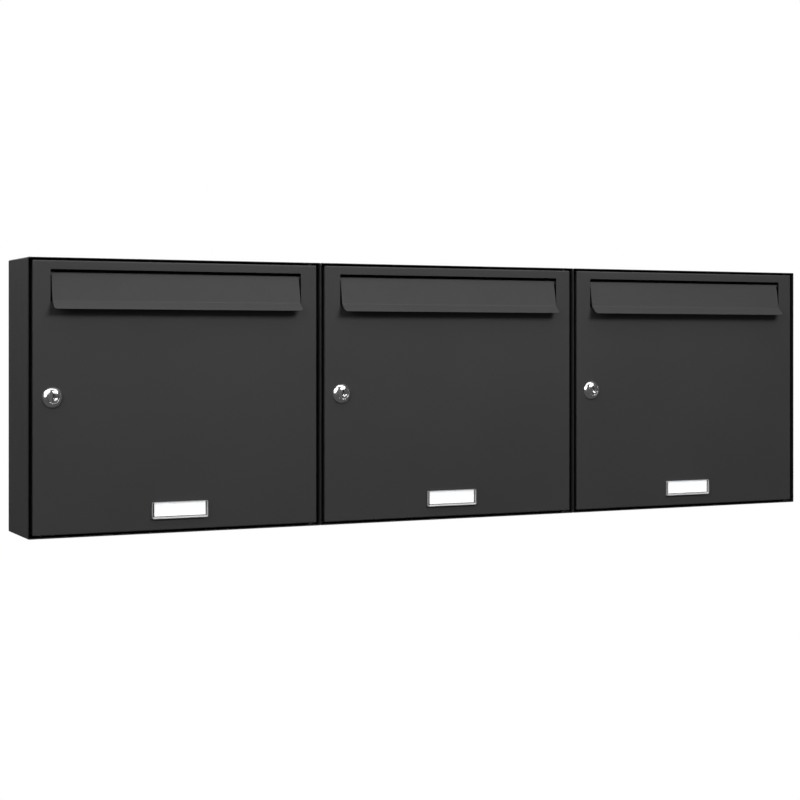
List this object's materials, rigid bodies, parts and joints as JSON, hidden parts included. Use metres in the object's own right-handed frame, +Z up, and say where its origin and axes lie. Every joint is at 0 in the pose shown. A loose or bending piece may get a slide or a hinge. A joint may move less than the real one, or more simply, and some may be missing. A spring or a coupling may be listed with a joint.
{
  "type": "cluster mailbox unit",
  "caption": "Wall-mounted bank of side-by-side sheet-steel mailboxes, each with a hinged door, a mail slot with pull flap, a cam lock and a clear nameplate.",
  "frame": {"origin": "centre of the middle compartment's wall bolt pattern, in the plane of the back face", "axes": "+X along the bank to the right as seen from the front, +Y into the wall, +Z up; the doors face -Y"},
  "size_m": [1.11, 0.113, 0.33],
  "materials": {
    "housing_paint": "fine-texture matt powder coat",
    "door_paint": "fine-texture matt powder coat",
    "zinc_steel": "zinc plated",
    "black_steel": "blackened",
    "lock_chrome": "polished chrome plate",
    "lock_plug_metal": "satin nickel plate",
    "black_rubber": "matt",
    "nylon": "moulded",
    "clear_plastic": "clear moulded acrylic",
    "card": "blank white card"
  },
  "bodies": {
    "cabinet": {"housing_left": "housing_paint", "strike_rail_left": "housing_paint", "door_buffers_left": "black_rubber", "hinge_pins_left": "black_steel", "housing_middle": "housing_paint", "strike_rail_middle": "housing_paint", "door_buffers_middle": "black_rubber", "hinge_pins_middle": "black_steel", "housing_right": "housing_paint", "strike_rail_right": "housing_paint", "door_buffers_right": "black_rubber", "hinge_pins_right": "black_steel", "joining_screws": "zinc_steel", "joining_washers": "zinc_steel", "joining_nuts": "zinc_steel"},
    "door_left": {"door_left": "door_paint", "hinge_bushes_left": "nylon", "flap_brackets_left": "door_paint", "flap_rod_left": "zinc_steel", "flap_buffers_left": "black_rubber", "lock_body_left": "lock_chrome", "lock_nut_left": "zinc_steel", "name_card_left": "card", "nameplate_cover_left": "clear_plastic"},
    "flap_left": {"flap_left": "door_paint"},
    "lock_left": {"lock_plug_left": "lock_plug_metal", "lock_cam_left": "zinc_steel", "cam_screw_left": "zinc_steel"},
    "door_middle": {"door_middle": "door_paint", "hinge_bushes_middle": "nylon", "flap_brackets_middle": "door_paint", "flap_rod_middle": "zinc_steel", "flap_buffers_middle": "black_rubber", "lock_body_middle": "lock_chrome", "lock_nut_middle": "zinc_steel", "name_card_middle": "card", "nameplate_cover_middle": "clear_plastic"},
    "flap_middle": {"flap_middle": "door_paint"},
    "lock_middle": {"lock_plug_middle": "lock_plug_metal", "lock_cam_middle": "zinc_steel", "cam_screw_middle": "zinc_steel"},
    "door_right": {"door_right": "door_paint", "hinge_bushes_right": "nylon", "flap_brackets_right": "door_paint", "flap_rod_right": "zinc_steel", "flap_buffers_right": "black_rubber", "lock_body_right": "lock_chrome", "lock_nut_right": "zinc_steel", "name_card_right": "card", "nameplate_cover_right": "clear_plastic"},
    "flap_right": {"flap_right": "door_paint"},
    "lock_right": {"lock_plug_right": "lock_plug_metal", "lock_cam_right": "zinc_steel", "cam_screw_right": "zinc_steel"}
  },
  "joints": [
    {"name": "door_left_hinge", "type": "hinge", "parent": "cabinet", "child": "door_left", "pos_m": [-0.1975, -0.094, 0], "axis": [0, 0, 1], "range_deg": [0, 90]},
    {"name": "flap_left_hinge", "type": "hinge", "parent": "door_left", "child": "flap_left", "pos_m": [-0.37, -0.0942, 0.1452], "axis": [-1, 0, 0], "range_deg": [0, 60]},
    {"name": "lock_left_turn", "type": "hinge", "parent": "door_left", "child": "lock_left", "pos_m": [-0.526, -0.094, 0], "axis": [0, 1, 0], "range_deg": [0, 90]},
    {"name": "door_middle_hinge", "type": "hinge", "parent": "cabinet", "child": "door_middle", "pos_m": [0.1725, -0.094, 0], "axis": [0, 0, 1], "range_deg": [0, 90]},
    {"name": "flap_middle_hinge", "type": "hinge", "parent": "door_middle", "child": "flap_middle", "pos_m": [0, -0.0942, 0.1452], "axis": [-1, 0, 0], "range_deg": [0, 60]},
    {"name": "lock_middle_turn", "type": "hinge", "parent": "door_middle", "child": "lock_middle", "pos_m": [-0.156, -0.094, 0], "axis": [0, 1, 0], "range_deg": [0, 90]},
    {"name": "door_right_hinge", "type": "hinge", "parent": "cabinet", "child": "door_right", "pos_m": [0.5425, -0.094, 0], "axis": [0, 0, 1], "range_deg": [0, 90]},
    {"name": "flap_right_hinge", "type": "hinge", "parent": "door_right", "child": "flap_right", "pos_m": [0.37, -0.0942, 0.1452], "axis": [-1, 0, 0], "range_deg": [0, 60]},
    {"name": "lock_right_turn", "type": "hinge", "parent": "door_right", "child": "lock_right", "pos_m": [0.214, -0.094, 0], "axis": [0, 1, 0], "range_deg": [0, 90]}
  ]
}
